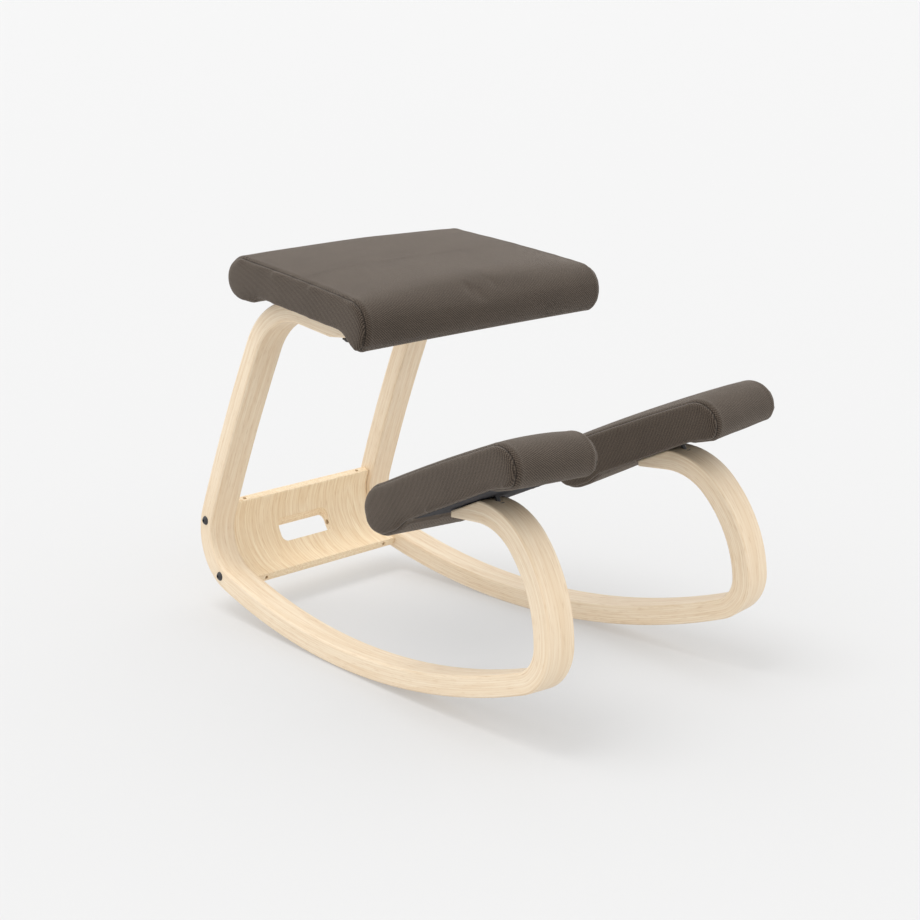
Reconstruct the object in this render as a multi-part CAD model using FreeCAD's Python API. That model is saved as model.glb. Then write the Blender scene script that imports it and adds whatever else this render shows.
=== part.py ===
import FreeCAD
import Part
import math
import os

# Rocking kneeling chair: two bent-laminated beech side frames joined low at the back by a curved
# crossbar, a padded seat on their upper ends and a padded knee rest on each looped front end.
# Millimetres. +Z is up, +Y is the chair's back, +X is the sitter's left hand.
# The origin is on the floor, at the middle of the length and of the width.

Vector = FreeCAD.Vector
X_AXIS = Vector(1, 0, 0)
Y_AXIS = Vector(0, 1, 0)
Z_AXIS = Vector(0, 0, 1)

# Side frame: one lamination bent to radii that are measured on its centreline.
# The turns say how far each bend changes the direction of the lamination, in degrees.
LAMINATION = 27.0
FRAME_WIDTH = 42.0
FRAME_EDGE_RADIUS = 3.0
ROCKER_RADIUS = 940.0
ROCKER_BACK_TURN = 15.7
HEEL_RADIUS = 69.0
HEEL_TURN = 94.3
LEG_RADIUS = 2880.0
LEG_TURN = 5.5
SHOULDER_RADIUS = 103.0
SHOULDER_TURN = 70.5
RAIL_LENGTH = 127.0
ROCKER_FRONT_TURN = 22.0
TOE_RADIUS = 51.0
TOE_TURN = 71.0
BOW_RADIUS = 170.0
BOW_TURN = 42.0
CROOK_RADIUS = 88.0
CROOK_TURN = 50.0
TIP_LENGTH = 45.0
TIP_THICKNESS = 8.0
RAIL_END_THICKNESS = 14.0
RAIL_END_TAPER = 60.0

# How the side frames stand: their outer faces at the rocker, the inward lean at the top
# and the way they close towards the back.
OUTER_HALF_WIDTH = 191.0
LEAN = 2.76
SPLAY = 3.0

# Crossbar: a curved panel on the centreline of the heel bend, with a hand slot.
CROSSBAR_THICKNESS = 12.0
CROSSBAR_BELOW_HEEL = 12.0
CROSSBAR_ABOVE_HEEL = 13.0
CROSSBAR_EDGE_RADIUS = 1.5
SLOT_LENGTH = 92.0
SLOT_START_TURN = 34.5
SLOT_END_TURN = 63.5
SLOT_CORNER = 9.0
UPPER_BOLT_TURN = 84.0
LOWER_BOLT_TURN = 11.0
DOWEL_TURN = 46.0

# Fasteners.
BOLT_DIAMETER = 6.0
BOLT_HOLE = 6.6
BOLT_HEAD_DIAMETER = 13.0
BOLT_HEAD_HEIGHT = 4.0
BOLT_PAST_NUT = 6.0
HEX_KEY = 4.0
HEX_KEY_DEPTH = 2.4
BARREL_DIAMETER = 8.0
BARREL_HOLE = 8.4
BARREL_LENGTH = 13.0
BARREL_INSET = 21.0
DOWEL_DIAMETER = 8.0
DOWEL_IN_FRAME = 18.0
DOWEL_IN_CROSSBAR = 32.0
DOWEL_END_GAP = 0.5
SCREW_DIAMETER = 6.0
SCREW_HOLE = 6.6
SCREW_HEAD_DIAMETER = 11.0
SCREW_HEAD_HEIGHT = 3.6
WASHER_DIAMETER = 14.0
WASHER_THICKNESS = 1.4
COUNTERBORE = 15.0
TEE_NUT_BARREL = 8.0
TEE_NUT_BARREL_LENGTH = 9.0
TEE_NUT_FLANGE = 18.0
TEE_NUT_FLANGE_THICKNESS = 1.5
TEE_NUT_BORE = 6.2
SCREW_SHORT_OF_FLANGE = 1.0

# Upholstery that the seat and both knee pads share.
COVER_THICKNESS = 2.0
BOARD_THICKNESS = 12.0
BOARD_CORNER = 18.0
CUSHION_EDGE = 6.0
CUSHION_EDGE_INSET = 3.0
CUSHION_BOW = 1.5
CLOTH_MARGIN = 6.0

# Seat, measured from the front end of the recess that sits on the rails.
SEAT_HALF_WIDTH = 207.0
SEAT_RECESS = 170.0
SEAT_FRONT_THICKNESS = 45.5
SEAT_REAR_THICKNESS = 46.0
SEAT_FRONT_ROLL = 46.0
SEAT_FRONT_DROP = 15.0
SEAT_REAR_ROLL = 71.0
SEAT_REAR_DROP = 11.0
SEAT_CROWN = 4.0
SEAT_RAIL_SETBACK = 6.0
SEAT_BOARD_MARGIN = 22.0
SEAT_SCREW_FROM_FRONT = 52.0
SEAT_SCREW_SPACING = 72.0

# Knee pad, measured from the tip of the side frame that carries it.
PAD_SLOPE = 25.5
PAD_HALF_WIDTH = 67.0
PAD_RECESS = 162.0
PAD_RECESS_BEHIND_TIP = 34.0
PAD_FRONT_THICKNESS = 48.0
PAD_REAR_THICKNESS = 53.5
PAD_FRONT_ROLL = 49.0
PAD_REAR_ROLL = 71.0
PAD_DROP = 6.0
PAD_CROWN = 3.0
PAD_BOARD_MARGIN = 14.0
PAD_SCREW_FROM_TIP = 26.0
PAD_SCREW_SPACING = 38.0
PAD_SCREW_GRIP = 9.0


def direction(angle):
    """Unit vector in the profile plane at an angle above +Y, in degrees."""
    a = math.radians(angle)
    return Vector(0, math.cos(a), math.sin(a))


def bend(point, heading, radius, turn):
    """Follow a bend from a point; a positive turn is to the left. Returns middle, end, heading."""
    side = 1 if turn > 0 else -1
    centre = point + direction(heading + 90 * side) * radius
    arms = [direction(heading + t - 90 * side) for t in (turn / 2, turn)]
    return centre, centre + arms[0] * radius, centre + arms[1] * radius, heading + turn


class Run:
    """A centreline of tangent bends that offsets to either side of itself."""

    def __init__(self, start, heading, bends):
        self.start = start
        self.heading = heading
        self.bends = bends

    def follow(self, offset):
        """Edges and points of the run, offset to its left; returns edges, end point, heading."""
        point = self.start + direction(self.heading + 90) * offset
        heading = self.heading
        edges = []
        for radius, turn in self.bends:
            if radius is None:
                end = point + direction(heading) * turn
                edges.append(Part.LineSegment(point, end).toShape())
            else:
                side = 1 if turn > 0 else -1
                _, middle, end, heading = bend(point, heading, radius - offset * side, turn)
                edges.append(Part.Arc(point, middle, end).toShape())
            point = end
        return edges, point, heading


ROCKER_LOW = Vector(0, 0, LAMINATION / 2)
BACK_RUN = Run(ROCKER_LOW, 0.0, [
    (ROCKER_RADIUS, ROCKER_BACK_TURN),
    (HEEL_RADIUS, HEEL_TURN),
    (LEG_RADIUS, LEG_TURN),
    (SHOULDER_RADIUS, SHOULDER_TURN),
    (None, RAIL_LENGTH),
])
FRONT_RUN = Run(ROCKER_LOW, 180.0, [
    (ROCKER_RADIUS, -ROCKER_FRONT_TURN),
    (TOE_RADIUS, -TOE_TURN),
    (BOW_RADIUS, -BOW_TURN),
    (CROOK_RADIUS, -CROOK_TURN),
    (None, TIP_LENGTH),
])

_, RAIL_TOP_END, RAIL_HEADING = BACK_RUN.follow(-LAMINATION / 2)
_, TIP_UNDER, TIP_HEADING = FRONT_RUN.follow(-LAMINATION / 2)
_, TIP_OVER, _ = FRONT_RUN.follow(LAMINATION / 2)
HEEL_HEADING = ROCKER_BACK_TURN
HEEL_START = bend(ROCKER_LOW, 0.0, ROCKER_RADIUS, ROCKER_BACK_TURN)[2]
HEEL_CENTRE = HEEL_START + direction(HEEL_HEADING + 90) * HEEL_RADIUS
SEAT_SLOPE = RAIL_HEADING - 180.0
PAD_ORIGIN = TIP_UNDER + direction(TIP_HEADING + 90) * TIP_THICKNESS


def heel_point(turn, radius=HEEL_RADIUS):
    """Point on the heel bend, a number of degrees after the rocker ends."""
    return HEEL_CENTRE + direction(HEEL_HEADING + turn - 90) * radius


def prism(wire, x0, x1):
    """Solid between two X planes from a closed wire in the plane X = 0."""
    face = Part.Face(wire)
    face.translate(Vector(x0, 0, 0))
    return face.extrude(Vector(x1 - x0, 0, 0))


def cylinder(diameter, start, axis, length):
    """Cylinder from a start point along an axis."""
    return Part.makeCylinder(diameter / 2, length, start, axis)


def place(shape, side):
    """Move a shape from the side frame's own space to its place; side is -1 right, +1 left."""
    moved = shape.copy()
    moved.rotate(Vector(), Y_AXIS, LEAN)
    moved.rotate(Vector(), Z_AXIS, -SPLAY)
    moved.translate(Vector(-OUTER_HALF_WIDTH, 0, 0))
    if side > 0:
        moved = moved.mirror(Vector(), X_AXIS)
    return moved


def plane_frame(origin, slope):
    """Along (towards the back) and out (upwards) directions of a sloping bearing face."""
    return direction(slope), direction(slope + 90)


SEAT_ALONG, SEAT_OUT = plane_frame(RAIL_TOP_END, SEAT_SLOPE)
PAD_ALONG, PAD_OUT = plane_frame(PAD_ORIGIN, -PAD_SLOPE)
SEAT_FRONT = RAIL_TOP_END - SEAT_ALONG * SEAT_RAIL_SETBACK
PAD_FRONT = PAD_ORIGIN + PAD_ALONG * (PAD_RECESS_BEHIND_TIP - PAD_RECESS)


def fillet_long_edges(solid, radius, x0, x1):
    """Round the edges of the two side faces of a prism."""
    edges = []
    for edge in solid.Edges:
        box = edge.BoundBox
        on_side = abs(box.XMax - x0) < 0.01 or abs(box.XMin - x1) < 0.01
        if on_side and box.XLength < 0.01 and edge.Length > 2 * radius:
            edges.append(edge)
    return solid.makeFillet(radius, edges)


def seat_screw_points():
    """Where the seat screws cross the rail's upper face, in the side frame's own space."""
    middle = Vector(FRAME_WIDTH / 2, 0, 0)
    first = SEAT_FRONT + SEAT_ALONG * SEAT_SCREW_FROM_FRONT + middle
    return [first, first + SEAT_ALONG * SEAT_SCREW_SPACING]


def pad_screw_points():
    """Where the knee pad screws cross the flat of the tip, in the side frame's own space."""
    middle = Vector(FRAME_WIDTH / 2, 0, 0)
    first = PAD_ORIGIN - PAD_ALONG * PAD_SCREW_FROM_TIP + middle
    return [first, first - PAD_ALONG * PAD_SCREW_SPACING]


def side_frame():
    """Bent lamination with tapered ends, bored for bolts, dowel and screws."""
    half = LAMINATION / 2
    back_out, back_out_end, _ = BACK_RUN.follow(-half)
    back_in, back_in_end, _ = BACK_RUN.follow(half)
    front_in, front_in_end, _ = FRONT_RUN.follow(-half)
    front_out, front_out_end, _ = FRONT_RUN.follow(half)
    edges = back_out + back_in + front_in + front_out
    edges.append(Part.LineSegment(back_out_end, back_in_end).toShape())
    edges.append(Part.LineSegment(front_in_end, front_out_end).toShape())
    wire = Part.Wire(Part.__sortEdges__(edges))
    frame = prism(wire, 0, FRAME_WIDTH)
    frame = frame.cut(tip_waste())
    frame = frame.cut(rail_end_waste())
    frame = fillet_long_edges(frame, FRAME_EDGE_RADIUS, 0, FRAME_WIDTH)
    for cutter in side_frame_bores():
        frame = frame.cut(cutter)
    return frame


def tip_waste():
    """What is planed off the top of the front end to leave the flat under the knee pad."""
    reach = 2 * TIP_LENGTH + LAMINATION
    corners = [
        PAD_ORIGIN + PAD_ALONG * TIP_THICKNESS,
        PAD_ORIGIN + PAD_ALONG * TIP_THICKNESS + PAD_OUT * reach,
        PAD_ORIGIN - PAD_ALONG * reach + PAD_OUT * reach,
        PAD_ORIGIN - PAD_ALONG * reach,
    ]
    return prism(Part.makePolygon(corners + corners[:1]), -1, FRAME_WIDTH + 1)


def rail_end_waste():
    """What is planed off the underside of the rail towards its front end."""
    out = SEAT_OUT * -1
    corners = [
        RAIL_TOP_END + out * RAIL_END_THICKNESS,
        RAIL_TOP_END + out * (LAMINATION + 1) - SEAT_ALONG,
        RAIL_TOP_END + out * (LAMINATION + 1) + SEAT_ALONG * RAIL_END_TAPER,
        RAIL_TOP_END + out * LAMINATION + SEAT_ALONG * RAIL_END_TAPER,
    ]
    corners[0] = corners[0] - SEAT_ALONG
    return prism(Part.makePolygon(corners + corners[:1]), -1, FRAME_WIDTH + 1)


def side_frame_bores():
    """Cutters for every hole in a side frame."""
    cutters = []
    for turn in (UPPER_BOLT_TURN, LOWER_BOLT_TURN):
        cutters.append(cylinder(BOLT_HOLE, heel_point(turn) - X_AXIS, X_AXIS, FRAME_WIDTH + 2))
    depth = DOWEL_IN_FRAME + DOWEL_END_GAP
    start = heel_point(DOWEL_TURN) + X_AXIS * (FRAME_WIDTH - depth)
    cutters.append(cylinder(DOWEL_DIAMETER, start, X_AXIS, depth + 1))
    for point in seat_screw_points():
        cutters.append(cylinder(SCREW_HOLE, point + SEAT_OUT, SEAT_OUT * -1, 2 * LAMINATION))
    for point in pad_screw_points():
        cutters.append(cylinder(SCREW_HOLE, point + PAD_OUT, PAD_OUT * -1, 2 * LAMINATION))
        seat = point - PAD_OUT * PAD_SCREW_GRIP
        cutters.append(cylinder(COUNTERBORE, seat, PAD_OUT * -1, 2 * LAMINATION))
    return cutters


def crossbar_shift():
    """How far lean and splay move the heel at the frame's inner face, in Y and Z."""
    marker = Part.Vertex(HEEL_CENTRE + X_AXIS * FRAME_WIDTH)
    moved = place(marker, -1).Point
    return Vector(0, moved.y - HEEL_CENTRE.y, moved.z - HEEL_CENTRE.z)


def crossbar():
    """Curved panel between the side frames, with slot, bolt, barrel nut and dowel bores."""
    start_turn = math.degrees(CROSSBAR_BELOW_HEEL / ROCKER_RADIUS)
    rocker_centre = ROCKER_LOW + Z_AXIS * ROCKER_RADIUS
    start_heading = ROCKER_BACK_TURN - start_turn
    start = rocker_centre + direction(start_heading - 90) * ROCKER_RADIUS
    panel_run = Run(start, start_heading, [
        (ROCKER_RADIUS, start_turn),
        (HEEL_RADIUS, HEEL_TURN),
        (None, CROSSBAR_ABOVE_HEEL),
    ])
    outer, outer_end, _ = panel_run.follow(-CROSSBAR_THICKNESS / 2)
    inner, inner_end, _ = panel_run.follow(CROSSBAR_THICKNESS / 2)
    outer_start = start + direction(start_heading - 90) * CROSSBAR_THICKNESS / 2
    inner_start = start + direction(start_heading + 90) * CROSSBAR_THICKNESS / 2
    edges = outer + inner
    edges.append(Part.LineSegment(outer_end, inner_end).toShape())
    edges.append(Part.LineSegment(outer_start, inner_start).toShape())
    panel = prism(Part.Wire(Part.__sortEdges__(edges)), -OUTER_HALF_WIDTH, OUTER_HALF_WIDTH)
    panel.translate(crossbar_shift())
    for side in (-1, 1):
        panel = panel.cut(place(inner_half_space(), side))
    ends = [e for e in panel.Edges if e.Curve.TypeId == "Part::GeomLine" and e.Length > OUTER_HALF_WIDTH]
    panel = panel.makeFillet(CROSSBAR_EDGE_RADIUS, outermost_edges(ends))
    panel = panel.cut(slot_cutter())
    for side in (-1, 1):
        for cutter in crossbar_bores():
            panel = panel.cut(place(cutter, side))
    return panel


def outermost_edges(edges):
    """The four long edges at the panel's free top and bottom."""
    ranked = sorted(edges, key=lambda e: e.BoundBox.ZMin)
    return [e for e in ranked if abs(e.BoundBox.ZMin - ranked[0].BoundBox.ZMin) < CROSSBAR_THICKNESS
            or abs(e.BoundBox.ZMin - ranked[-1].BoundBox.ZMin) < CROSSBAR_THICKNESS]


def inner_half_space():
    """Everything outboard of a side frame's inner face, in the frame's own space."""
    size = 4 * OUTER_HALF_WIDTH
    return Part.makeBox(size, 2 * size, 2 * size, Vector(FRAME_WIDTH - size, -size, -size))


def slot_cutter():
    """Hand slot through the panel, with rounded corners, square to the bend at its middle."""
    middle_turn = (SLOT_START_TURN + SLOT_END_TURN) / 2
    height = math.radians(SLOT_END_TURN - SLOT_START_TURN) * HEEL_RADIUS
    reach = 2 * CROSSBAR_THICKNESS
    block = Part.makeBox(SLOT_LENGTH, reach, height, Vector(-SLOT_LENGTH / 2, -reach / 2, -height / 2))
    corners = [e for e in block.Edges if abs(e.tangentAt(e.FirstParameter).y) > 0.99]
    block = block.makeFillet(SLOT_CORNER, corners)
    block.rotate(Vector(), X_AXIS, HEEL_HEADING + middle_turn - 90)
    block.translate(heel_point(middle_turn) + crossbar_shift())
    return block


def barrel_axis(turn, end_point):
    """Unit direction from a bolt's axis to the free edge where its barrel nut goes in."""
    return (end_point - heel_point(turn)).normalize()


def crossbar_edge_points():
    """Middle of the panel's upper and lower free edges, on the centreline."""
    upper_heading = HEEL_HEADING + HEEL_TURN
    upper = heel_point(HEEL_TURN) + direction(upper_heading) * CROSSBAR_ABOVE_HEEL
    start_turn = math.degrees(CROSSBAR_BELOW_HEEL / ROCKER_RADIUS)
    rocker_centre = ROCKER_LOW + Z_AXIS * ROCKER_RADIUS
    lower = rocker_centre + direction(ROCKER_BACK_TURN - start_turn - 90) * ROCKER_RADIUS
    return upper, lower


def crossbar_bores():
    """Cutters in the crossbar's end, in the side frame's own space."""
    upper, lower = crossbar_edge_points()
    at_nut = X_AXIS * (FRAME_WIDTH + BARREL_INSET)
    cutters = []
    for turn, end in ((UPPER_BOLT_TURN, upper), (LOWER_BOLT_TURN, lower)):
        reach = BARREL_INSET + BOLT_PAST_NUT + BARREL_DIAMETER
        cutters.append(cylinder(BOLT_HOLE, heel_point(turn) + X_AXIS * FRAME_WIDTH, X_AXIS, reach))
        axis = barrel_axis(turn, end)
        start = heel_point(turn) + at_nut - axis * BARREL_LENGTH / 2
        length = (end - heel_point(turn)).Length + BARREL_LENGTH
        cutters.append(cylinder(BARREL_HOLE, start, axis, length))
    start = heel_point(DOWEL_TURN) + X_AXIS * (FRAME_WIDTH - 1)
    cutters.append(cylinder(DOWEL_DIAMETER, start, X_AXIS, OUTER_HALF_WIDTH - FRAME_WIDTH))
    return cutters


def domed_head(diameter, height, base, axis):
    """Low domed screw head with a hexagon key socket."""
    dome_radius = (diameter ** 2 / 4 + height ** 2) / (2 * height)
    ball = Part.makeSphere(dome_radius, Vector(0, 0, height - dome_radius))
    head = ball.common(Part.makeCylinder(diameter / 2, height, Vector(), Z_AXIS))
    corners = []
    for step in range(7):
        a = math.radians(60 * step)
        corners.append(Vector(math.cos(a), math.sin(a), 0) * HEX_KEY / math.sqrt(3))
    key = Part.Face(Part.makePolygon(corners)).extrude(Z_AXIS * (HEX_KEY_DEPTH + 1))
    key.translate(Z_AXIS * (height - HEX_KEY_DEPTH))
    head = head.cut(key)
    turn = FreeCAD.Rotation(Z_AXIS, axis)
    head.Placement = FreeCAD.Placement(base, turn)
    return head


def crossbar_bolts():
    """Two black domed bolts through a side frame into the barrel nuts."""
    bolts = []
    for turn in (UPPER_BOLT_TURN, LOWER_BOLT_TURN):
        base = heel_point(turn)
        length = FRAME_WIDTH + BARREL_INSET + BOLT_PAST_NUT
        shank = cylinder(BOLT_DIAMETER, base, X_AXIS, length)
        head = domed_head(BOLT_HEAD_DIAMETER, BOLT_HEAD_HEIGHT, base, X_AXIS * -1)
        bolts.append(head.fuse(shank).removeSplitter())
    return Part.makeCompound(bolts)


def barrel_nuts():
    """Two cross-bored barrel nuts in the crossbar's end."""
    upper, lower = crossbar_edge_points()
    nuts = []
    for turn, end in ((UPPER_BOLT_TURN, upper), (LOWER_BOLT_TURN, lower)):
        axis = barrel_axis(turn, end)
        centre = heel_point(turn) + X_AXIS * (FRAME_WIDTH + BARREL_INSET)
        nut = cylinder(BARREL_DIAMETER, centre - axis * BARREL_LENGTH / 2, axis, BARREL_LENGTH)
        bore = cylinder(BOLT_DIAMETER, centre - X_AXIS * BARREL_DIAMETER, X_AXIS, 2 * BARREL_DIAMETER)
        nuts.append(nut.cut(bore))
    return Part.makeCompound(nuts)


def dowel():
    """Hardwood dowel that keeps the crossbar from turning."""
    start = heel_point(DOWEL_TURN) + X_AXIS * (FRAME_WIDTH - DOWEL_IN_FRAME)
    return cylinder(DOWEL_DIAMETER, start, X_AXIS, DOWEL_IN_FRAME + DOWEL_IN_CROSSBAR)


def cushion_wire(front, along, out, sizes, inset, crown):
    """Closed side profile of a cushion: flat recess, a drooping roll at each end, crowned top."""
    recess, front_thickness, front_roll, front_drop, rear_thickness, rear_roll, rear_drop = sizes

    def at(u, w):
        return front + along * u + out * w

    front_top = front_thickness - inset + crown
    rear_top = rear_thickness - inset + crown
    bow_top = (front_top + rear_top) / 2 + CUSHION_BOW
    nose = -front_roll + inset
    tail = recess + rear_roll - inset
    front_low = -front_drop + inset
    rear_low = -rear_drop + inset
    front_mid = (front_thickness - front_drop) / 2
    rear_mid = (rear_thickness - rear_drop) / 2
    points = [
        ("start", at(0, inset)),
        ("line", at(recess, inset)),
        ("line", at(recess + rear_roll * 0.30, rear_low)),
        ("line", at(recess + rear_roll * 0.62, rear_low)),
        ("arc", at(tail - rear_roll * 0.09, rear_low + (rear_mid - rear_low) * 0.36), at(tail, rear_mid)),
        ("arc", at(tail - rear_roll * 0.10, rear_mid + (rear_top - rear_mid) * 0.66),
         at(recess + rear_roll * 0.48, rear_top)),
        ("arc", at(recess / 2, bow_top), at(-front_roll * 0.30, front_top)),
        ("arc", at(nose + front_roll * 0.16, front_mid + (front_top - front_mid) * 0.62),
         at(nose, front_mid)),
        ("arc", at(nose + front_roll * 0.10, front_low + (front_mid - front_low) * 0.30),
         at(-front_roll * 0.68, front_low)),
        ("line", at(0, inset)),
    ]
    edges = []
    here = points[0][1]
    for kind, *rest in points[1:]:
        if kind == "line":
            edges.append(Part.LineSegment(here, rest[0]).toShape())
            here = rest[0]
        else:
            edges.append(Part.Arc(here, rest[0], rest[1]).toShape())
            here = rest[1]
    return Part.Wire(edges)


def cushion_form(front, along, out, sizes, half_width, crown, splay, inset):
    """Closed cushion: crowned across its middle, drawn in at the seam round each side panel."""
    def section(x, extra, rise):
        wire = cushion_wire(front, along, out, sizes, inset + extra, rise)
        middle = front + along * sizes[0] / 2
        wire.rotate(middle, out, math.copysign(splay, x) if x else 0)
        wire.translate(Vector(x, 0, 0))
        return wire

    seam = half_width - inset - CUSHION_EDGE
    end = half_width - inset
    body = Part.makeLoft([section(-seam, 0, 0), section(0, 0, crown), section(seam, 0, 0)], True)
    for side in (-1, 1):
        rim = Part.makeLoft([section(side * seam, 0, 0), section(side * end, CUSHION_EDGE_INSET, 0)],
                            True, True)
        body = body.fuse(rim)
    return body


def plate(front, along, out, x_half, u0, u1, w0, w1, corner):
    """Flat rectangular plate with rounded corners, centred on X = 0."""
    box = Part.makeBox(2 * x_half, u1 - u0, w1 - w0, Vector(-x_half, u0, w0))
    edges = [e for e in box.Edges if abs(e.tangentAt(e.FirstParameter).z) > 0.99]
    box = box.makeFillet(corner, edges)
    matrix = FreeCAD.Matrix(
        1, along.x, out.x, front.x,
        0, along.y, out.y, front.y,
        0, along.z, out.z, front.z,
        0, 0, 0, 1)
    box.Placement = FreeCAD.Placement(matrix)
    return box


def upholstery(front, along, out, sizes, half_width, crown, splay, margin, screws):
    """Board, foam, cover, underside cloth and tee nuts of one cushion, round X = 0."""
    recess = sizes[0]
    outer = cushion_form(front, along, out, sizes, half_width, crown, splay, 0)
    inner = cushion_form(front, along, out, sizes, half_width, crown, splay, COVER_THICKNESS)
    board_half = half_width - margin
    board = plate(front, along, out, board_half, margin / 2, recess - margin / 2,
                  COVER_THICKNESS, COVER_THICKNESS + BOARD_THICKNESS, BOARD_CORNER)
    window = plate(front, along, out, board_half - CLOTH_MARGIN, margin / 2 + CLOTH_MARGIN,
                   recess - margin / 2 - CLOTH_MARGIN, -1, COVER_THICKNESS, BOARD_CORNER - CLOTH_MARGIN)
    cloth = plate(front, along, out, board_half - CLOTH_MARGIN, margin / 2 + CLOTH_MARGIN,
                  recess - margin / 2 - CLOTH_MARGIN, 0, COVER_THICKNESS, BOARD_CORNER - CLOTH_MARGIN)
    cover = outer.cut(inner).cut(window)
    foam = inner.cut(board)
    nuts = []
    for point, normal in screws:
        top = point + normal * (COVER_THICKNESS + BOARD_THICKNESS)
        flange = cylinder(TEE_NUT_FLANGE, top, normal, TEE_NUT_FLANGE_THICKNESS)
        barrel = cylinder(TEE_NUT_BARREL, top, normal * -1, TEE_NUT_BARREL_LENGTH)
        bore = cylinder(TEE_NUT_BORE, top + normal * 3, normal * -1, TEE_NUT_BARREL_LENGTH + 6)
        nuts.append(flange.fuse(barrel).cut(bore))
        hole = cylinder(SCREW_HOLE, point - normal, normal, BOARD_THICKNESS + COVER_THICKNESS + 2)
        board = board.cut(barrel).cut(flange).cut(hole)
        cloth = cloth.cut(hole)
        foam = foam.cut(flange).cut(barrel)
    return {"board": board, "foam": foam, "cover": cover, "underside_cloth": cloth,
            "tee_nuts": Part.makeCompound(nuts)}


def screw_set(points, normal, grip):
    """Screws driven up along a normal, with the washers under their heads."""
    screws = []
    washers = []
    for point in points:
        under = point - normal * grip
        washer = cylinder(WASHER_DIAMETER, under, normal * -1, WASHER_THICKNESS)
        washer = washer.cut(cylinder(SCREW_HOLE, under + normal, normal * -1, WASHER_THICKNESS + 2))
        head_base = under - normal * WASHER_THICKNESS
        length = grip + WASHER_THICKNESS + COVER_THICKNESS + BOARD_THICKNESS - SCREW_SHORT_OF_FLANGE
        shank = cylinder(SCREW_DIAMETER, head_base, normal, length)
        head = domed_head(SCREW_HEAD_DIAMETER, SCREW_HEAD_HEIGHT, head_base, normal * -1)
        screws.append(head.fuse(shank).removeSplitter())
        washers.append(washer)
    return Part.makeCompound(screws), Part.makeCompound(washers)


def placed_point(point, side):
    """A point of the side frame's own space, at its real place."""
    return place(Part.Vertex(point), side).Point


def placed_normal(normal, side):
    """A direction of the side frame's own space, as it really points."""
    return (placed_point(normal, side) - placed_point(Vector(), side)).normalize()


def build():
    """Every node of the chair by name."""
    nodes = {}
    frame = side_frame()
    bolts = crossbar_bolts()
    nuts = barrel_nuts()
    pin = dowel()
    seat_screws, seat_washers = screw_set(seat_screw_points(), SEAT_OUT, LAMINATION)
    pad_screws, pad_washers = screw_set(pad_screw_points(), PAD_OUT, PAD_SCREW_GRIP)
    pad_sizes = (PAD_RECESS, PAD_FRONT_THICKNESS, PAD_FRONT_ROLL, PAD_DROP,
                 PAD_REAR_THICKNESS, PAD_REAR_ROLL, PAD_DROP)
    pad_points = [(p - X_AXIS * FRAME_WIDTH / 2, PAD_OUT) for p in pad_screw_points()]
    pad = upholstery(PAD_FRONT, PAD_ALONG, PAD_OUT, pad_sizes, PAD_HALF_WIDTH, PAD_CROWN, 0,
                     PAD_BOARD_MARGIN, pad_points)
    all_seat_screws = []
    all_seat_washers = []
    seat_points = []
    for name, side in (("right", -1), ("left", 1)):
        nodes["side_frame_" + name] = place(frame, side).cut(seat_bed_waste())
        nodes["crossbar_bolts_" + name] = place(bolts, side)
        nodes["barrel_nuts_" + name] = place(nuts, side)
        nodes["dowel_" + name] = place(pin, side)
        nodes["knee_pad_screws_" + name] = place(pad_screws, side)
        nodes["knee_pad_washers_" + name] = place(pad_washers, side)
        for piece, shape in pad.items():
            centred = shape.copy()
            centred.translate(X_AXIS * FRAME_WIDTH / 2)
            nodes["knee_pad_" + piece + "_" + name] = place(centred, side)
        all_seat_screws += place(seat_screws, side).Solids
        all_seat_washers += place(seat_washers, side).Solids
        for point in seat_screw_points():
            seat_points.append((placed_point(point, side), placed_normal(SEAT_OUT, side)))
    nodes["seat_screws"] = Part.makeCompound(all_seat_screws)
    nodes["seat_washers"] = Part.makeCompound(all_seat_washers)
    seat_sizes = (SEAT_RECESS, SEAT_FRONT_THICKNESS, SEAT_FRONT_ROLL, SEAT_FRONT_DROP,
                  SEAT_REAR_THICKNESS, SEAT_REAR_ROLL, SEAT_REAR_DROP)
    seat = upholstery(seat_front_at_rails(), SEAT_ALONG, SEAT_OUT, seat_sizes, SEAT_HALF_WIDTH,
                      SEAT_CROWN, SPLAY, SEAT_BOARD_MARGIN, seat_points)
    for piece, shape in seat.items():
        nodes["seat_" + piece] = shape
    nodes["crossbar"] = crossbar()
    return nodes


def seat_front_at_rails():
    """Front of the seat's recess, at the height of the leaning rails' inner edges."""
    inner = placed_point(SEAT_FRONT + X_AXIS * FRAME_WIDTH, -1)
    return Vector(0, inner.y, inner.z)


def seat_bed_waste():
    """What is planed off the leaning rails so that the level seat bears on their whole width."""
    reach = SEAT_RECESS / 2
    return plate(seat_front_at_rails(), SEAT_ALONG, SEAT_OUT, 2 * OUTER_HALF_WIDTH, -reach,
                 SEAT_RECESS + reach, 0, reach, 1.0)


def export(nodes):
    """Stand the chair on the floor, centre its length and write one file for each node."""
    box = nodes["side_frame_right"].optimalBoundingBox()
    stand = Vector(0, -(box.YMin + box.YMax) / 2, -box.ZMin)
    os.makedirs("parts", exist_ok=True)
    for name, shape in nodes.items():
        shape.translate(stand)
        shape.exportStep("parts/" + name + ".step")
    return stand


if __name__ == "__main__":
    parts = build()
    moved = export(parts)
    print("nodes", len(parts), "stand", moved)
    for part_name in sorted(parts):
        part_box = parts[part_name].BoundBox
        print(part_name, len(parts[part_name].Solids), parts[part_name].isValid(),
              round(parts[part_name].Volume / 1000, 1), "cm3", part_box)
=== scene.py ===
import math

import bmesh
import bpy
import numpy
from mathutils import Matrix, Vector


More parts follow.
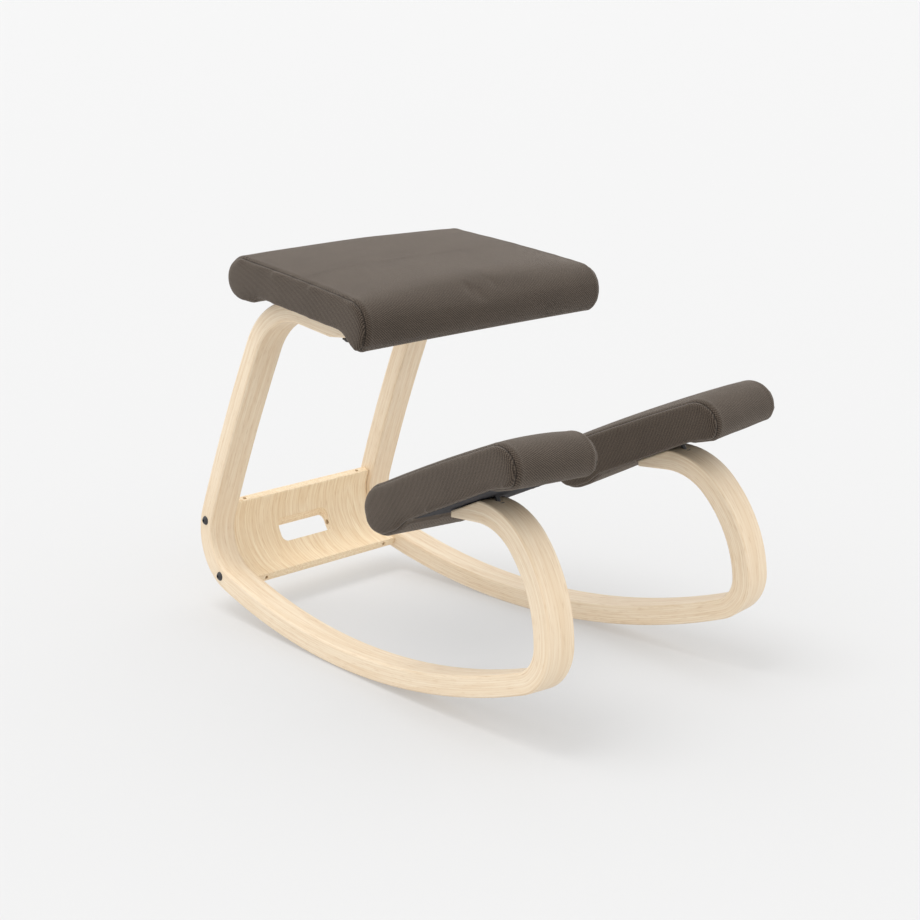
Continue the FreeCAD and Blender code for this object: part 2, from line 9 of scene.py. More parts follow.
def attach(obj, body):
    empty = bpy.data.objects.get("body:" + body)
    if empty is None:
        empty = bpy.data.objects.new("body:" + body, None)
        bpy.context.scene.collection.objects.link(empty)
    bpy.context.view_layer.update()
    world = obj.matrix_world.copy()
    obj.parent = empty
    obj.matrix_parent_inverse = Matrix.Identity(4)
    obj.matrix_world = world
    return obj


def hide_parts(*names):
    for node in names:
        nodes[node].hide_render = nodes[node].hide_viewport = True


# Rocking kneeling chair: bent laminated side frames, a slotted crossbar, a seat and two knee pads
# in taupe twill. Metres. +Z is up, +Y is the chair's back, +X is the sitter's left hand.

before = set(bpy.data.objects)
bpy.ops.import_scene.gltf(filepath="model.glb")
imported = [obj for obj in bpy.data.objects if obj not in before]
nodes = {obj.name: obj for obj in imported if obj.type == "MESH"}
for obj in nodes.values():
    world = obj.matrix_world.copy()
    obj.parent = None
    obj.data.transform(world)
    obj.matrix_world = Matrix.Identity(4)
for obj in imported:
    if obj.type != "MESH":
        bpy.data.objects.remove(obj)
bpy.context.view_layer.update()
bpy.ops.object.select_all(action="DESELECT")


# Camera: stands in front and to the right of the chair, a little above the seat, with a long lens,
# 2.4 metres from the middle of the chair.

CAMERA_PLACE = (-1.5620, -1.6112, 0.8614)
CAMERA_TILT = 74.814
CAMERA_TURN = -44.118
SENSOR_WIDTH = 36.0
LENS = 68.48
SIGHT = 600.0

camera_data = bpy.data.cameras.new("camera")
camera_data.sensor_width = SENSOR_WIDTH
camera_data.lens = LENS
camera_data.clip_end = SIGHT
camera = bpy.data.objects.new("camera", camera_data)
bpy.context.scene.collection.objects.link(camera)
camera.location = CAMERA_PLACE
camera.rotation_euler = (math.radians(CAMERA_TILT), 0.0, math.radians(CAMERA_TURN))
bpy.context.scene.camera = camera


# Floor and light: a plain pale floor without an edge in sight, lit a little from below as a light
# table is, a broad white surround and one large soft lamp high up behind the chair.

FLOOR_SIZE = 800.0
FLOOR_TONE = (0.425, 0.425, 0.425, 1.0)
FLOOR_GLOW = 0.30
WHITE = (1.0, 1.0, 1.0, 1.0)
SURROUND = 1.15
LAMP_POWER = 0.90
LAMP_SPREAD = 28.0
LAMP_WAY = Vector((0.20, -0.16, -0.96))

bpy.ops.mesh.primitive_plane_add(size=FLOOR_SIZE, location=(0.0, 0.0, 0.0))
floor = bpy.context.active_object
floor.name = "floor"
floor_material = bpy.data.materials.new("pale_floor")
floor_material.use_nodes = True
floor_shader = floor_material.node_tree.nodes["Principled BSDF"]
floor_shader.inputs["Base Color"].default_value = FLOOR_TONE
floor_shader.inputs["Emission Color"].default_value = WHITE
floor_shader.inputs["Emission Strength"].default_value = FLOOR_GLOW
floor_shader.inputs["Roughness"].default_value = 0.9
floor_shader.inputs["Specular IOR Level"].default_value = 0.1
floor.data.materials.append(floor_material)

world = bpy.data.worlds.new("studio")
world.use_nodes = True
world.node_tree.nodes["Background"].inputs["Color"].default_value = WHITE
world.node_tree.nodes["Background"].inputs["Strength"].default_value = SURROUND
bpy.context.scene.world = world

lamp_data = bpy.data.lights.new("soft_lamp", "SUN")
lamp_data.energy = LAMP_POWER
lamp_data.angle = math.radians(LAMP_SPREAD)
lamp = bpy.data.objects.new("soft_lamp", lamp_data)
bpy.context.scene.collection.objects.link(lamp)
lamp.rotation_euler = LAMP_WAY.to_track_quat("-Z", "Y").to_euler()
bpy.context.scene.view_settings.view_transform = "Standard"


# Side frames: beech veneers, glued in a press into one looped lamination, with soft edges.
# The veneers' edges run round the pale side faces as fine lines, and the grain runs along them.

LAMINATION = 0.027
FRAME_WIDTH = 0.042
VENEER = 0.0027
OUTER_HALF_WIDTH = 0.191
STAND = Vector((0.0, 0.04102, 0.00188))
LEAN = math.radians(2.76)
SPLAY = math.radians(3.0)
ROCKER_RADIUS = 0.940
ROCKER_BACK_TURN = 15.7
HEEL_RADIUS = 0.069
HEEL_TURN = 94.3
TONE_PALE = (0.865, 0.735, 0.56, 1.0)
TONE_WARM = (0.70, 0.51, 0.315, 1.0)
FRAME_FIGURE = 0.50
PORE_TINT = (0.62, 0.45, 0.28, 1.0)
BACK_BENDS = [(ROCKER_RADIUS, ROCKER_BACK_TURN), (HEEL_RADIUS, HEEL_TURN), (2.880, 5.5),
              (0.103, 70.5), (None, 0.127)]
FRONT_BENDS = [(ROCKER_RADIUS, -22.0), (0.051, -71.0), (0.170, -42.0), (0.088, -50.0), (None, 0.045)]
FAR_OFF = 9.0
OVERRUN = 0.01
FRAME_SHARPEST = 28.0


def heading_vector(angle):
    """Unit vector of a heading in the profile plane, in degrees above +Y."""
    return numpy.array([math.cos(math.radians(angle)), math.sin(math.radians(angle))])


def along_the_bends(points, start, heading, bends, run_start):
    """How far along a run of bends each profile point lies, how far to its left, and how far off."""
    here = numpy.array(start)
    run = run_start
    length = numpy.zeros(len(points))
    across = numpy.zeros(len(points))
    miss = numpy.full(len(points), FAR_OFF)
    for radius, turn in bends:
        ahead = heading_vector(heading)
        left = heading_vector(heading + 90.0)
        if radius is None:
            reach = turn
            s = (points - here) @ ahead
            t = (points - here) @ left
            end = here + ahead * reach
        else:
            side = math.copysign(1.0, turn)
            reach = radius * math.radians(abs(turn))
            centre = here + left * side * radius
            arm = points - centre
            s = radius * numpy.arctan2(arm @ ahead, -side * (arm @ left))
            t = side * (radius - numpy.hypot(arm[:, 0], arm[:, 1]))
            end = centre - heading_vector(heading + 90.0 + turn) * side * radius
            heading = heading + turn
        off = numpy.abs(t) + 4.0 * (numpy.clip(-s, 0.0, None) + numpy.clip(s - reach, 0.0, None))
        nearer = off < miss
        length[nearer] = run + numpy.clip(s[nearer], -OVERRUN, reach + OVERRUN)
        across[nearer] = t[nearer]
        miss[nearer] = off[nearer]
        run += reach
        here = end
    return length, across, miss


def bench_copy(name, node):
    """A new object from a CAD node's mesh, with its loose triangles merged."""
    mesh = bpy.data.meshes.new(name)
    shape = bmesh.new()
    shape.from_mesh(nodes[node].data)
    bmesh.ops.remove_doubles(shape, verts=shape.verts, dist=0.00001)
    shape.to_mesh(mesh)
    shape.free()
    copy = bpy.data.objects.new(name, mesh)
    bpy.context.scene.collection.objects.link(copy)
    return copy


def mesh_points(mesh):
    """The places of a mesh's points, one row for each."""
    flat = numpy.zeros(len(mesh.vertices) * 3)
    mesh.vertices.foreach_get("co", flat)
    return flat.reshape(-1, 3)


def mesh_normals(mesh):
    """The directions that a mesh's points face, one row for each."""
    flat = numpy.zeros(len(mesh.vertices) * 3)
    mesh.vertices.foreach_get("normal", flat)
    return flat.reshape(-1, 3)


def put_points(mesh, points):
    """Moves a mesh's points to new places."""
    mesh.vertices.foreach_set("co", points.ravel())
    mesh.update()


def write_vectors(mesh, name, rows):
    """Keeps three numbers for each point, for a material to read."""
    attribute = mesh.attributes.new(name, "FLOAT_VECTOR", "POINT")
    attribute.data.foreach_set("vector", numpy.ascontiguousarray(rows, dtype=numpy.float32).ravel())


def into_frame_space(points, side):
    """Points as they lie in a side frame that stands straight; side is -1 right, +1 left."""
    local = points - numpy.array(STAND)
    local = local * numpy.array([-side, 1.0, 1.0]) + numpy.array([OUTER_HALF_WIDTH, 0.0, 0.0])
    turn = Matrix.Rotation(-LEAN, 3, "Y") @ Matrix.Rotation(SPLAY, 3, "Z")
    return local @ numpy.array(turn).T


def grain_side_frame(piece, side):
    """Lays the grain along a side frame's bends, with the veneers across its thickness."""
    local = into_frame_space(mesh_points(piece.data), side)
    profile = local[:, 1:]
    low = (0.0, LAMINATION / 2)
    s_back, t_back, off_back = along_the_bends(profile, low, 0.0, BACK_BENDS, 0.0)
    s_front, t_front, off_front = along_the_bends(profile, low, 180.0, FRONT_BENDS, 0.0)
    back = off_back <= off_front
    s = numpy.where(back, s_back, -s_front)
    t = numpy.where(back, t_back, -t_front)
    write_vectors(piece.data, "grain", numpy.stack([s, local[:, 0], t], axis=1))


def new_node(tree, kind, **values):
    """A shader node with its settings."""
    node = tree.nodes.new(kind)
    for key, value in values.items():
        setattr(node, key, value)
    return node


def join_up(tree, *steps):
    """Links each pair of sockets."""
    for source, target in steps:
        tree.links.new(source, target)


def math_in(tree):
    """A function that adds a math node to one tree and gives its output."""
    def math_node(operation, first, second=None, clamp=False):
        node = new_node(tree, "ShaderNodeMath", operation=operation, use_clamp=clamp)
        for socket, value in zip(node.inputs, (first, second)):
            if value is None:
                continue
            if isinstance(value, (int, float)):
                socket.default_value = value
            else:
                tree.links.new(value, socket)
        return node.outputs[0]
    return math_node


def laminated_wood_group():
    """Node group: veneer layers, figure, fibres and pores from the grain attribute."""
    group = bpy.data.node_groups.new("laminated_wood", "ShaderNodeTree")
    face = group.interface
    face.new_socket("Pale", in_out="INPUT", socket_type="NodeSocketColor")
    face.new_socket("Warm", in_out="INPUT", socket_type="NodeSocketColor")
    face.new_socket("Veneer", in_out="INPUT", socket_type="NodeSocketFloat")
    face.new_socket("Figure", in_out="INPUT", socket_type="NodeSocketFloat")
    face.new_socket("Color", in_out="OUTPUT", socket_type="NodeSocketColor")
    face.new_socket("Height", in_out="OUTPUT", socket_type="NodeSocketFloat")
    face.new_socket("Roughness", in_out="OUTPUT", socket_type="NodeSocketFloat")
    inside = new_node(group, "NodeGroupInput")
    outside = new_node(group, "NodeGroupOutput")
    grain = new_node(group, "ShaderNodeAttribute", attribute_name="grain")
    parts = new_node(group, "ShaderNodeSeparateXYZ")
    join_up(group, (grain.outputs["Vector"], parts.inputs[0]))
    math_node = math_in(group)

    def stretched_noise(along, across, through, detail, distortion=0.0):
        scaled = new_node(group, "ShaderNodeVectorMath", operation="MULTIPLY")
        scaled.inputs[1].default_value = (along, across, through)
        noise = new_node(group, "ShaderNodeTexNoise")
        noise.inputs["Scale"].default_value = 1.0
        noise.inputs["Detail"].default_value = detail
        noise.inputs["Distortion"].default_value = distortion
        join_up(group, (grain.outputs["Vector"], scaled.inputs[0]),
                (scaled.outputs[0], noise.inputs["Vector"]))
        return noise.outputs["Fac"]

    layer = math_node("DIVIDE", parts.outputs["Z"], inside.outputs["Veneer"])
    layer = math_node("ADD", layer, 20.5)
    layer_number = math_node("FLOOR", layer)
    layer_tone = new_node(group, "ShaderNodeTexWhiteNoise", noise_dimensions="1D")
    join_up(group, (layer_number, layer_tone.inputs["W"]))
    within = math_node("FRACT", layer)
    to_joint = math_node("ABSOLUTE", math_node("SUBTRACT", within, 0.5))
    joint = math_node("MULTIPLY", math_node("SUBTRACT", to_joint, 0.38), 8.0, clamp=True)

    figure = stretched_noise(2.2, 46.0, 150.0, 3.0, 0.6)
    bands = math_node("MULTIPLY", figure, 9.0)
    bands = math_node("ABSOLUTE", math_node("SUBTRACT", math_node("FRACT", bands), 0.5))
    bands = math_node("MULTIPLY", bands, inside.outputs["Figure"])
    fibres = stretched_noise(9.0, 330.0, 330.0, 4.0)
    flecks = stretched_noise(60.0, 700.0, 700.0, 1.0)
    flecks = math_node("MULTIPLY", math_node("SUBTRACT", flecks, 0.57), 6.0, clamp=True)
    drift = stretched_noise(5.0, 9.0, 30.0, 1.0)

    tone = math_node("ADD", bands, math_node("MULTIPLY", fibres, 1.3))
    tone = math_node("ADD", tone, math_node("MULTIPLY", layer_tone.outputs["Value"], 0.22))
    tone = math_node("ADD", tone, math_node("MULTIPLY", drift, 0.30))
    tone = math_node("ADD", tone, -0.78, clamp=True)
    mixed = new_node(group, "ShaderNodeMix", data_type="RGBA")
    join_up(group, (tone, mixed.inputs[0]), (inside.outputs["Pale"], mixed.inputs[6]),
            (inside.outputs["Warm"], mixed.inputs[7]))
    dark = math_node("ADD", math_node("MULTIPLY", joint, 0.24), math_node("MULTIPLY", flecks, 0.26))
    shade = new_node(group, "ShaderNodeMix", data_type="RGBA", blend_type="MULTIPLY")
    shade.inputs[7].default_value = PORE_TINT
    join_up(group, (dark, shade.inputs[0]), (mixed.outputs[2], shade.inputs[6]),
            (shade.outputs[2], outside.inputs["Color"]))
    height = math_node("SUBTRACT", math_node("MULTIPLY", fibres, 0.3), math_node("MULTIPLY", dark, 1.6))
    rough = math_node("ADD", 0.40, math_node("MULTIPLY", fibres, 0.16))
    join_up(group, (height, outside.inputs["Height"]), (rough, outside.inputs["Roughness"]))
    return group


wood_group = laminated_wood_group()


def wood_material(name, pale, warm, veneer, figure):
    """Clear-lacquered laminated wood in a pair of tones."""
    material = bpy.data.materials.new(name)
    material.use_nodes = True
    tree = material.node_tree
    shader = tree.nodes["Principled BSDF"]
    wood = new_node(tree, "ShaderNodeGroup", node_tree=wood_group)
    wood.inputs["Pale"].default_value = pale
    wood.inputs["Warm"].default_value = warm
    wood.inputs["Veneer"].default_value = veneer
    wood.inputs["Figure"].default_value = figure
    bump = new_node(tree, "ShaderNodeBump")
    bump.inputs["Strength"].default_value = 0.25
    bump.inputs["Distance"].default_value = 0.0004
    join_up(tree, (wood.outputs["Color"], shader.inputs["Base Color"]),
            (wood.outputs["Roughness"], shader.inputs["Roughness"]),
            (wood.outputs["Height"], bump.inputs["Height"]), (bump.outputs[0], shader.inputs["Normal"]))
    shader.inputs["Specular IOR Level"].default_value = 0.35
    return material


def finish_piece(piece, material, slot_name, *node_names):
    """Dresses a piece that stands for CAD nodes and lets it ride on the chair."""
    piece.data.materials.clear()
    piece.data.materials.append(material)
    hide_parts(*node_names)
    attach(piece, "root")


def take_up(piece):
    """Selects one piece alone, to work on it."""
    bpy.ops.object.select_all(action="DESELECT")
    piece.select_set(True)
    bpy.context.view_layer.objects.active = piece


def smooth_by_angle(piece, degrees):
    """Soft shading that keeps edges sharper than an angle."""
    take_up(piece)
    bpy.ops.object.shade_smooth_by_angle(angle=math.radians(degrees))
    piece.select_set(False)


beech = wood_material("pressed_beech", TONE_PALE, TONE_WARM, VENEER, FRAME_FIGURE)
for hand, side in (("right", -1), ("left", 1)):
    side_frame = bench_copy("bent_side_frame_" + hand, "side_frame_" + hand)
    grain_side_frame(side_frame, side)
    smooth_by_angle(side_frame, FRAME_SHARPEST)
    finish_piece(side_frame, beech, "laminated_beech", "side_frame_" + hand)


# Crossbar: thinner veneers pressed round the heels of the side frames, with their grain upright
# round the bend, and a hand slot routed through at a slant, so that fingers hook in from below.

CROSSBAR_VENEER = 0.0030
CROSSBAR_THICKNESS = 0.012
CROSSBAR_BELOW = 0.012
CROSSBAR_ABOVE = 0.013
CROSSBAR_SHIFT = Vector((0.0, -0.00281, -0.00216))
CROSSBAR_BENDS = [(ROCKER_RADIUS, ROCKER_BACK_TURN), (HEEL_RADIUS, HEEL_TURN), (None, CROSSBAR_ABOVE)]
HEEL_CENTRE = Vector((0.0, 0.23569, 0.11500))
SLOT_LENGTH = 0.092
SLOT_CORNER = 0.009
SLOT_TURNS = (34.5, 63.5)
SLOT_TILT = 33.0
BOLT_TURNS = (84.0, 11.0)
DOWEL_TURN = 46.0
NUT_FROM_END = 0.021
NUT_HOLE = 0.0054
DOWEL_HOLE = 0.0080
DOWEL_HOLE_DEPTH = 0.060
DRILL_LEAD = 0.004
CUTTER_DEPTH = 0.05
EDGE_ROUNDING = 0.0013
EDGE_SHARPEST = 50.0
PANEL_SHARPEST = 32.0
PANEL_COLUMNS = 56
PANEL_ROWS = 44
# Painted light: the crossbar's tones are paler than the side frames' beech, lifting the shade it stands in
# under the seat; they are also a little warmer, as its veneer is.
PANEL_PALE = (0.93, 0.785, 0.57, 1.0)
PANEL_WARM = (0.74, 0.53, 0.305, 1.0)
PANEL_FIGURE = 0.85
GRAIN_SHIFT = 0.4


def on_heel(turn):
    """Point on the crossbar's middle, a number of degrees round the heel, and its outward way."""
    angle = math.radians(ROCKER_BACK_TURN + turn - 90.0)
    out = Vector((0.0, math.cos(angle), math.sin(angle)))
    return HEEL_CENTRE + CROSSBAR_SHIFT + STAND + out * HEEL_RADIUS, out


def panel_middle(s):
    """Point on the crossbar's middle, a distance up from its lower edge."""
    bend_length = HEEL_RADIUS * math.radians(HEEL_TURN)
    if s < CROSSBAR_BELOW:
        low, out = on_heel(0.0)
        return low + Vector((0.0, out.z, -out.y)) * (CROSSBAR_BELOW - s)
    if s > CROSSBAR_BELOW + bend_length:
        top, out = on_heel(HEEL_TURN)
        return top + Vector((0.0, -out.z, out.y)) * (s - CROSSBAR_BELOW - bend_length)
    return on_heel(math.degrees((s - CROSSBAR_BELOW) / HEEL_RADIUS))[0]


def frame_gap(point):
    """How far out from the middle the side frames' inner faces stand at a height and depth."""
    middle = numpy.array([[0.0, point.y, point.z]])
    straight = into_frame_space(middle, -1)[0][0]
    return (straight - FRAME_WIDTH) / (math.cos(LEAN) * math.cos(SPLAY))


def carve(piece, cutter):
    """Cuts one shape out of a piece."""
    take_up(piece)
    cut = piece.modifiers.new("cut", "BOOLEAN")
    cut.operation = "DIFFERENCE"
    cut.solver = "EXACT"
    cut.object = cutter
    bpy.ops.object.modifier_apply(modifier=cut.name)
    bpy.data.objects.remove(cutter)


def drill(piece, start, way, diameter, depth):
    """Bores a round hole from a point."""
    bpy.ops.object.select_all(action="DESELECT")
    bpy.ops.mesh.primitive_cylinder_add(vertices=32, radius=diameter / 2, depth=depth)
    bit = bpy.context.active_object
    bit.rotation_euler = way.to_track_quat("Z", "Y").to_euler()
    bit.location = start + way * depth / 2
    bpy.context.view_layer.update()
    carve(piece, bit)


def place_in_mesh(piece):
    """Puts a piece's place, turn and size into its mesh."""
    take_up(piece)
    bpy.ops.object.transform_apply(location=True, rotation=True, scale=True)


bpy.ops.object.select_all(action="DESELECT")
bpy.ops.mesh.primitive_grid_add(x_subdivisions=PANEL_COLUMNS, y_subdivisions=PANEL_ROWS, size=2.0)
crossbar = bpy.context.active_object
crossbar.name = "curved_crossbar"
panel_length = CROSSBAR_BELOW + HEEL_RADIUS * math.radians(HEEL_TURN) + CROSSBAR_ABOVE
for vert in crossbar.data.vertices:
    middle = panel_middle((vert.co.y + 1.0) / 2.0 * panel_length)
    vert.co = Vector((vert.co.x * frame_gap(middle), middle.y, middle.z))
thicken = crossbar.modifiers.new("thicken", "SOLIDIFY")
thicken.thickness = CROSSBAR_THICKNESS
thicken.offset = 0.0
thicken.use_even_offset = True
bpy.ops.object.modifier_apply(modifier=thicken.name)
soften = crossbar.modifiers.new("soften", "BEVEL")
soften.width = EDGE_ROUNDING
soften.segments = 3
soften.limit_method = "ANGLE"
soften.angle_limit = math.radians(EDGE_SHARPEST)
bpy.ops.object.modifier_apply(modifier=soften.name)

slot_middle, slot_out = on_heel(sum(SLOT_TURNS) / 2)
slot_height = HEEL_RADIUS * math.radians(SLOT_TURNS[1] - SLOT_TURNS[0])
slot_height = slot_height * math.cos(math.radians(SLOT_TILT))
bpy.ops.object.select_all(action="DESELECT")
bpy.ops.mesh.primitive_cube_add(size=1.0)
slot_block = bpy.context.active_object
slot_block.scale = (SLOT_LENGTH, slot_height, CUTTER_DEPTH)
place_in_mesh(slot_block)
corners = bmesh.new()
corners.from_mesh(slot_block.data)
upright = [e for e in corners.edges if abs(e.verts[0].co.z - e.verts[1].co.z) > CUTTER_DEPTH / 2]
bmesh.ops.bevel(corners, geom=upright, offset=SLOT_CORNER, segments=6, profile=0.5, affect="EDGES")
corners.to_mesh(slot_block.data)
corners.free()
slot_turn = ROCKER_BACK_TURN + sum(SLOT_TURNS) / 2 - 180.0 - SLOT_TILT
slot_block.rotation_euler = (math.radians(slot_turn), 0.0, 0.0)
slot_block.location = slot_middle - slot_out * CROSSBAR_THICKNESS / 2
bpy.context.view_layer.update()
carve(crossbar, slot_block)

for turn, edge_s in zip(BOLT_TURNS, (panel_length, 0.0)):
    hole_middle = on_heel(turn)[0]
    edge_middle = panel_middle(edge_s)
    inward = (hole_middle - edge_middle).normalized()
    for side in (-1, 1):
        across = side * (frame_gap(hole_middle) - NUT_FROM_END)
        drill(crossbar, edge_middle - inward * DRILL_LEAD + Vector((across, 0.0, 0.0)), inward, NUT_HOLE,
              (hole_middle - edge_middle).length + 2 * DRILL_LEAD)
dowel_middle = on_heel(DOWEL_TURN)[0]
for side in (-1, 1):
    from_slot = Vector((side * (SLOT_LENGTH / 2 - DRILL_LEAD), 0.0, 0.0))
    drill(crossbar, dowel_middle + from_slot, Vector((side, 0.0, 0.0)), DOWEL_HOLE, DOWEL_HOLE_DEPTH)

bar_points = mesh_points(crossbar.data)
bar_profile = (bar_points - numpy.array(STAND) - numpy.array(CROSSBAR_SHIFT))[:, 1:]
bar_s, bar_t, _ = along_the_bends(bar_profile, (0.0, LAMINATION / 2), 0.0, CROSSBAR_BENDS, 0.0)
write_vectors(crossbar.data, "grain", numpy.stack([bar_s, bar_points[:, 0] + GRAIN_SHIFT, bar_t], axis=1))
smooth_by_angle(crossbar, PANEL_SHARPEST)
crossbar_beech = wood_material("crossbar_beech", PANEL_PALE, PANEL_WARM, CROSSBAR_VENEER, PANEL_FIGURE)
finish_piece(crossbar, crossbar_beech, "laminated_beech", "crossbar")


# Crossbar bolts, barrel nuts and dowels: black domed socket screws, zinc-plated cross nuts and
# hardwood dowels.

BLACK_PAINT = (0.018, 0.018, 0.020, 1.0)
ZINC = (0.60, 0.60, 0.62, 1.0)
DOWEL_PALE = (0.62, 0.44, 0.26, 1.0)
DOWEL_DARK = (0.42, 0.27, 0.14, 1.0)
DOWEL_GRAIN = (20.0, 500.0, 500.0)


def metal_material(name, colour, roughness, metallic, scratch):
    """Plated or painted metal with fine wear."""
    material = bpy.data.materials.new(name)
    material.use_nodes = True
    tree = material.node_tree
    shader = tree.nodes["Principled BSDF"]
    place = new_node(tree, "ShaderNodeTexCoord")
    wear = new_node(tree, "ShaderNodeTexNoise")
    wear.inputs["Scale"].default_value = 420.0
    wear.inputs["Detail"].default_value = 4.0
    tones = new_node(tree, "ShaderNodeMix", data_type="RGBA")
    tones.inputs[6].default_value = colour
    tones.inputs[7].default_value = tuple(min(1.0, c * (1.0 + scratch)) for c in colour[:3]) + (1.0,)
    rough = new_node(tree, "ShaderNodeMapRange")
    rough.inputs["To Min"].default_value = roughness - 0.08
    rough.inputs["To Max"].default_value = roughness + 0.14
    bump = new_node(tree, "ShaderNodeBump")
    bump.inputs["Strength"].default_value = 0.12
    bump.inputs["Distance"].default_value = 0.0002
    join_up(tree, (place.outputs["Object"], wear.inputs["Vector"]), (wear.outputs["Fac"], tones.inputs[0]),
            (tones.outputs[2], shader.inputs["Base Color"]), (wear.outputs["Fac"], rough.inputs[0]),
            (rough.outputs[0], shader.inputs["Roughness"]), (wear.outputs["Fac"], bump.inputs["Height"]),
            (bump.outputs[0], shader.inputs["Normal"]))
    shader.inputs["Metallic"].default_value = metallic
    return material


def dress_node(name, material):
    """Gives a CAD node that stays its own material."""
    nodes[name].data.materials.clear()
    nodes[name].data.materials.append(material)


def plain_wood_material(name, colour, dark, along):
    """Bare wood with its grain along one axis, for pieces that are mostly hidden."""
    material = bpy.data.materials.new(name)
    material.use_nodes = True
    tree = material.node_tree
    shader = tree.nodes["Principled BSDF"]
    place = new_node(tree, "ShaderNodeTexCoord")
    turned = new_node(tree, "ShaderNodeMapping")
    turned.inputs["Scale"].default_value = along
    rings = new_node(tree, "ShaderNodeTexNoise")
    rings.inputs["Scale"].default_value = 1.0
    rings.inputs["Detail"].default_value = 5.0
    tones = new_node(tree, "ShaderNodeMix", data_type="RGBA")
    tones.inputs[6].default_value = colour
    tones.inputs[7].default_value = dark
    join_up(tree, (place.outputs["Object"], turned.inputs["Vector"]),
            (turned.outputs[0], rings.inputs["Vector"]), (rings.outputs["Fac"], tones.inputs[0]),
            (tones.outputs[2], shader.inputs["Base Color"]))
    shader.inputs["Roughness"].default_value = 0.7
    return material


black_steel = metal_material("black_bolt_steel", BLACK_PAINT, 0.38, 0.0, 1.2)
zinc_steel = metal_material("zinc_steel", ZINC, 0.34, 1.0, 0.25)
dowel_beech = plain_wood_material("dowel_beech", DOWEL_PALE, DOWEL_DARK, DOWEL_GRAIN)
for hand in ("right", "left"):
    dress_node("crossbar_bolts_" + hand, black_steel)
    dress_node("barrel_nuts_" + hand, zinc_steel)
    dress_node("dowel_" + hand, dowel_beech)


# Seat: a plywood board under shaped foam, in a cover of dense taupe twill. One band wraps over the
# top, front and back, a flat panel closes each side with a plain seam, and the edge is stapled below.

SEAT_ORIGIN = Vector((0.0, -0.00601, 0.45040))
SEAT_SLOPE = math.radians(6.0)
SEAT_HALF_WIDTH = 0.207
SEAT_LENGTH = 0.170
SEAT_PUFF = 0.005
SEAT_STRETCH = 1.016
SEAT_RECESS = 0.190
SEAT_RAISED = 0.002
SEAM_IN = 0.004
SEAM_HOLD = 0.004
SEAM_DEPTH = 0.0013
SEAM_GROOVE = 0.0028
SEAM_LINE = 0.0015
SWELL_FROM_SEAM = 0.007
SWELL_WIDTH = 0.003
SWELL_SHARE = 0.3
SKIN_GRAIN = 0.004
FILL_OUT = 0.0016
INNER_PRESSURE = 4.0
CLOTH_STEPS = 20
STAPLED_BELOW = 0.004
STAPLED_PAST_END = 0.012
RECESS_DEPTH = 0.0035
RECESS_BORDER = 0.008
RECESS_BELOW = 0.012
TIGHT_BELOW = 0.010
TIGHT_SHARES = (0.97, 0.66, 0.66, 0.80)
FRONT_ROLL = 0.030
BACK_ROLL = 0.036
RAISED_ABOVE = -0.002
RAISED_OVER = 0.012
BAND_STEPS = 240
PANEL_LAY = 40.0
TWILL_PITCH = 0.0030
RIB_WAY = (0.78, 1.0, 0.0)
THREAD_WAY = (1.0, -0.35, 0.0)
CLOTH_DARK = (0.015, 0.0105, 0.0075, 1.0)
CLOTH_LIGHT = (0.126, 0.096, 0.073, 1.0)
# Painted shade: the colour that darkens the cloth in the seam's groove.
SEAM_PAINTED_SHADE = (0.22, 0.20, 0.18, 1.0)
NAP_TINT = (1.0, 0.90, 0.80, 1.0)


def cushion_axes(origin, across, along):
    """Rows that turn places in the room into places on a cushion: across, along and out."""
    a = Vector(across).normalized()
    u = Vector(along).normalized()
    w = a.cross(u).normalized()
    return numpy.array(origin), numpy.array([a, u, w])


def on_cushion(points, axes):
    """Places on the cushion of points in the room."""
    origin, rows = axes
    return (points - origin) @ rows.T


def off_cushion(local, axes):
    """Places in the room of points on the cushion."""
    origin, rows = axes
    return origin + local @ rows


def stuffed_skin(name, cad_names):
    """One closed, even skin round copies of a cushion's CAD pieces."""
    mesh = bpy.data.meshes.new(name)
    shape = bmesh.new()
    for cad_name in cad_names:
        shape.from_mesh(nodes[cad_name].data)
    bmesh.ops.remove_doubles(shape, verts=shape.verts, dist=0.00001)
    shape.to_mesh(mesh)
    shape.free()
    skin = bpy.data.objects.new(name, mesh)
    bpy.context.scene.collection.objects.link(skin)
    take_up(skin)
    even = skin.modifiers.new("even_skin", "REMESH")
    even.mode = "VOXEL"
    even.voxel_size = SKIN_GRAIN
    bpy.ops.object.modifier_apply(modifier=even.name)
    return skin


def drop_inner_shells(piece):
    """Keeps only the outermost closed shell of a remeshed piece."""
    shape = bmesh.new()
    shape.from_mesh(piece.data)
    shape.verts.ensure_lookup_table()
    left = set(shape.verts)
    shells = []
    while left:
        todo = [left.pop()]
        shell = list(todo)
        while todo:
            for edge in todo.pop().link_edges:
                for vert in edge.verts:
                    if vert in left:
                        left.remove(vert)
                        todo.append(vert)
                        shell.append(vert)
        shells.append(shell)
    shells.sort(key=len)
    for shell in shells[:-1]:
        bmesh.ops.delete(shape, geom=shell, context="VERTS")
    shape.to_mesh(piece.data)
    shape.free()


def seam_distance(points, axes, half_width, splay, middle):
    """How far inside the seam of the nearer side panel a point lies."""
    local = on_cushion(points, axes)
    drawn = half_width - SEAM_IN - math.tan(splay) * (local[:, 1] - middle)
    return drawn - numpy.abs(local[:, 0])


